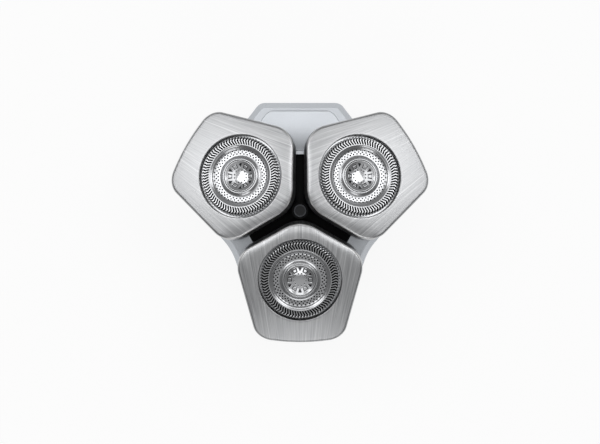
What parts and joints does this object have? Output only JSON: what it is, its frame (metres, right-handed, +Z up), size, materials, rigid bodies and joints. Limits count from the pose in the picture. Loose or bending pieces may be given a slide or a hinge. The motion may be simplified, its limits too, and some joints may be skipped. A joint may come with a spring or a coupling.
{
  "type": "rotary shaver head",
  "caption": "Rotary shaving unit: tilting pods with slotted round guards and spinning cutters on a lift-off frame over a hair chamber, driven through gears from a round handle socket.",
  "frame": {"origin": "centre of the handle socket's mouth, on the foot plane of the collar", "axes": "+Z up out of the shaving side along the middle axis, +Y towards the tab, +X to the right as seen from above"},
  "size_m": [0.0724, 0.0672, 0.0364],
  "materials": {
    "brushed_cover": "radially brushed, clear anodised",
    "silver_frame": "silver lacquered plastic",
    "black_plastic": "fine moulded texture",
    "guard_steel": "polished stainless sheet",
    "disc_steel": "bright dished disc",
    "cutter_steel": "ground blades",
    "hub_plastic": "smooth moulded",
    "base_plastic": "fine moulded texture",
    "gear_plastic": "natural acetal",
    "seal_rubber": "soft seal",
    "screw_steel": "zinc plated",
    "spring_steel": "drawn wire",
    "cap_plastic": "smooth dark grey"
  },
  "bodies": {
    "base": {"hair_chamber": "base_plastic", "gear_cover": "base_plastic", "shaft_seal": "seal_rubber", "cover_screws": "screw_steel"},
    "drive": {"drive_gear": "gear_plastic"},
    "frame": {"trim_frame": "silver_frame", "chassis": "black_plastic", "centre_cap": "cap_plastic"},
    "head_right": {"cover_right": "brushed_cover", "carrier_right": "black_plastic", "guard_right": "guard_steel", "guard_disc_right": "disc_steel"},
    "ring_right": {"retaining_ring_right": "black_plastic"},
    "cutter_right": {"cutter_right": "cutter_steel", "cutter_hub_right": "hub_plastic"},
    "pinion_right": {"spindle_gear_right": "gear_plastic", "spindle_spring_right": "spring_steel"},
    "spindle_right": {"drive_spindle_right": "hub_plastic"},
    "head_left": {"cover_left": "brushed_cover", "carrier_left": "black_plastic", "guard_left": "guard_steel", "guard_disc_left": "disc_steel"},
    "ring_left": {"retaining_ring_left": "black_plastic"},
    "cutter_left": {"cutter_left": "cutter_steel", "cutter_hub_left": "hub_plastic"},
    "pinion_left": {"spindle_gear_left": "gear_plastic", "spindle_spring_left": "spring_steel"},
    "spindle_left": {"drive_spindle_left": "hub_plastic"},
    "head_lower": {"cover_lower": "brushed_cover", "carrier_lower": "black_plastic", "guard_lower": "guard_steel", "guard_disc_lower": "disc_steel"},
    "ring_lower": {"retaining_ring_lower": "black_plastic"},
    "cutter_lower": {"cutter_lower": "cutter_steel", "cutter_hub_lower": "hub_plastic"},
    "pinion_lower": {"spindle_gear_lower": "gear_plastic", "spindle_spring_lower": "spring_steel"},
    "spindle_lower": {"drive_spindle_lower": "hub_plastic"}
  },
  "joints": [
    {"name": "frame_lift", "type": "slide", "parent": "base", "child": "frame", "axis": [0, 0, 1], "range_m": [0, 0.03]},
    {"name": "drive_spin", "type": "hinge", "parent": "base", "child": "drive", "pos_m": [0, 0, 0.009], "axis": [0, 0, 1], "continuous": true},
    {"name": "tilt_right", "type": "hinge", "parent": "frame", "child": "head_right", "pos_m": [0.01591, 0.00919, 0.02913], "axis": [-0.5, 0.866, 0], "range_deg": [-6, 6], "stiffness_Nm_per_rad": 0.05},
    {"name": "ring_turn_right", "type": "hinge", "parent": "head_right", "child": "ring_right", "pos_m": [0.01689, 0.00975, 0.034], "axis": [0.1948, 0.1125, 0.9744], "range_deg": [0, 25]},
    {"name": "cutter_spin_right", "type": "hinge", "parent": "head_right", "child": "cutter_right", "pos_m": [0.01689, 0.00975, 0.034], "axis": [0.1948, 0.1125, 0.9744], "continuous": true},
    {"name": "pinion_spin_right", "type": "hinge", "parent": "base", "child": "pinion_right", "pos_m": [0.01591, 0.00919, 0.009], "axis": [0, 0, 1], "continuous": true},
    {"name": "spindle_slide_right", "type": "slide", "parent": "pinion_right", "child": "spindle_right", "axis": [0, 0, 1], "range_m": [-0.0018, 0], "stiffness_N_per_m": 40, "springref_m": 0.01, "deforming": ["spindle_spring_right"]},
    {"name": "tilt_left", "type": "hinge", "parent": "frame", "child": "head_left", "pos_m": [-0.01591, 0.00919, 0.02913], "axis": [-0.5, -0.866, 0], "range_deg": [-6, 6], "stiffness_Nm_per_rad": 0.05},
    {"name": "ring_turn_left", "type": "hinge", "parent": "head_left", "child": "ring_left", "pos_m": [-0.01689, 0.00975, 0.034], "axis": [-0.1948, 0.1125, 0.9744], "range_deg": [0, 25]},
    {"name": "cutter_spin_left", "type": "hinge", "parent": "head_left", "child": "cutter_left", "pos_m": [-0.01689, 0.00975, 0.034], "axis": [-0.1948, 0.1125, 0.9744], "continuous": true},
    {"name": "pinion_spin_left", "type": "hinge", "parent": "base", "child": "pinion_left", "pos_m": [-0.01591, 0.00919, 0.009], "axis": [0, 0, 1], "continuous": true},
    {"name": "spindle_slide_left", "type": "slide", "parent": "pinion_left", "child": "spindle_left", "axis": [0, 0, 1], "range_m": [-0.0018, 0], "stiffness_N_per_m": 40, "springref_m": 0.01, "deforming": ["spindle_spring_left"]},
    {"name": "tilt_lower", "type": "hinge", "parent": "frame", "child": "head_lower", "pos_m": [0, -0.01838, 0.02913], "axis": [1, 0, 0], "range_deg": [-6, 6], "stiffness_Nm_per_rad": 0.05},
    {"name": "ring_turn_lower", "type": "hinge", "parent": "head_lower", "child": "ring_lower", "pos_m": [0, -0.0195, 0.034], "axis": [0, -0.225, 0.9744], "range_deg": [0, 25]},
    {"name": "cutter_spin_lower", "type": "hinge", "parent": "head_lower", "child": "cutter_lower", "pos_m": [0, -0.0195, 0.034], "axis": [0, -0.225, 0.9744], "continuous": true},
    {"name": "pinion_spin_lower", "type": "hinge", "parent": "base", "child": "pinion_lower", "pos_m": [0, -0.01838, 0.009], "axis": [0, 0, 1], "continuous": true},
    {"name": "spindle_slide_lower", "type": "slide", "parent": "pinion_lower", "child": "spindle_lower", "axis": [0, 0, 1], "range_m": [-0.0018, 0], "stiffness_N_per_m": 40, "springref_m": 0.01, "deforming": ["spindle_spring_lower"]}
  ],
  "couplings": [
    {"joint": "pinion_spin_right", "follows": "drive_spin", "ratio": -1.875},
    {"joint": "cutter_spin_right", "follows": "drive_spin", "ratio": -1.875},
    {"joint": "pinion_spin_left", "follows": "drive_spin", "ratio": -1.875},
    {"joint": "cutter_spin_left", "follows": "drive_spin", "ratio": -1.875},
    {"joint": "pinion_spin_lower", "follows": "drive_spin", "ratio": -1.875},
    {"joint": "cutter_spin_lower", "follows": "drive_spin", "ratio": -1.875}
  ]
}
